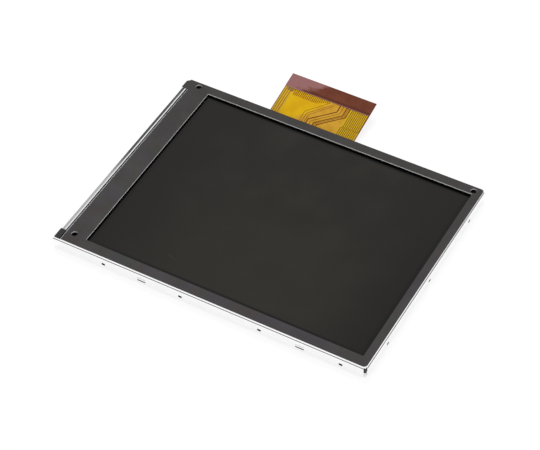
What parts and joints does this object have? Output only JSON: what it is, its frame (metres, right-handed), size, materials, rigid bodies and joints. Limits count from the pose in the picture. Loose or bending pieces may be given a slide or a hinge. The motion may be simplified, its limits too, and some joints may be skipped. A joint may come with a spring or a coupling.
{
  "type": "tft display module",
  "caption": "Small colour display module: dark screen in a folded steel bezel with a black face, LED backlight, and a short golden flexible tail with a stiffened contact end.",
  "frame": {"origin": "centre of the case outline in the plane that the back rests on", "axes": "+X along the long side of the screen, +Y towards the flexible tail, +Z out of the screen"},
  "size_m": [0.0862, 0.0798, 0.0038],
  "materials": {
    "bezel_steel": "bright rolled sheet steel",
    "black_film": "matt black film with a fine grain",
    "screen_film": "hard coated dark polarizer",
    "panel_glass": "polished",
    "seal_resin": "cured resin",
    "chip_black": "bare chip, ground back",
    "black_tape": "black adhesive tape",
    "diffuser_white": "frosted sheet",
    "prism_clear": "finely ribbed clear sheet",
    "guide_clear": "clear acrylic",
    "reflector_white": "silvered white sheet",
    "led_white": "white housings with yellow resin",
    "frame_black": "fine spark eroded texture",
    "chassis_steel": "rolled sheet steel",
    "flex_amber": "amber polyimide film",
    "copper_gold": "copper under amber cover film",
    "stiffener_brown": "glossy brown polyimide",
    "contact_gold": "gold plated",
    "adhesive_clear": "double sided adhesive",
    "capacitor_tan": "tan body, tinned ends",
    "resistor_black": "black body, tinned ends",
    "inductor_grey": "grey ferrite"
  },
  "bodies": {
    "root": {"bezel": "bezel_steel", "bezel_film": "black_film", "front_polarizer": "screen_film", "color_filter_glass": "panel_glass", "cell_seal": "seal_resin", "tft_glass": "panel_glass", "rear_polarizer": "screen_film", "driver_chips": "chip_black", "shield_tape": "black_tape", "upper_diffuser": "diffuser_white", "upper_prism_sheet": "prism_clear", "lower_prism_sheet": "prism_clear", "lower_diffuser": "diffuser_white", "light_guide": "guide_clear", "reflector": "reflector_white", "led_strip": "flex_amber", "white_leds": "led_white", "mould_frame": "frame_black", "rear_chassis": "chassis_steel", "flex_circuit": "flex_amber", "tail_copper": "copper_gold", "tail_stiffener": "stiffener_brown", "tail_contacts": "contact_gold", "flex_adhesive": "adhesive_clear", "chip_capacitors": "capacitor_tan", "chip_resistors": "resistor_black", "power_inductor": "inductor_grey", "power_chip": "chip_black"}
  },
  "joints": []
}
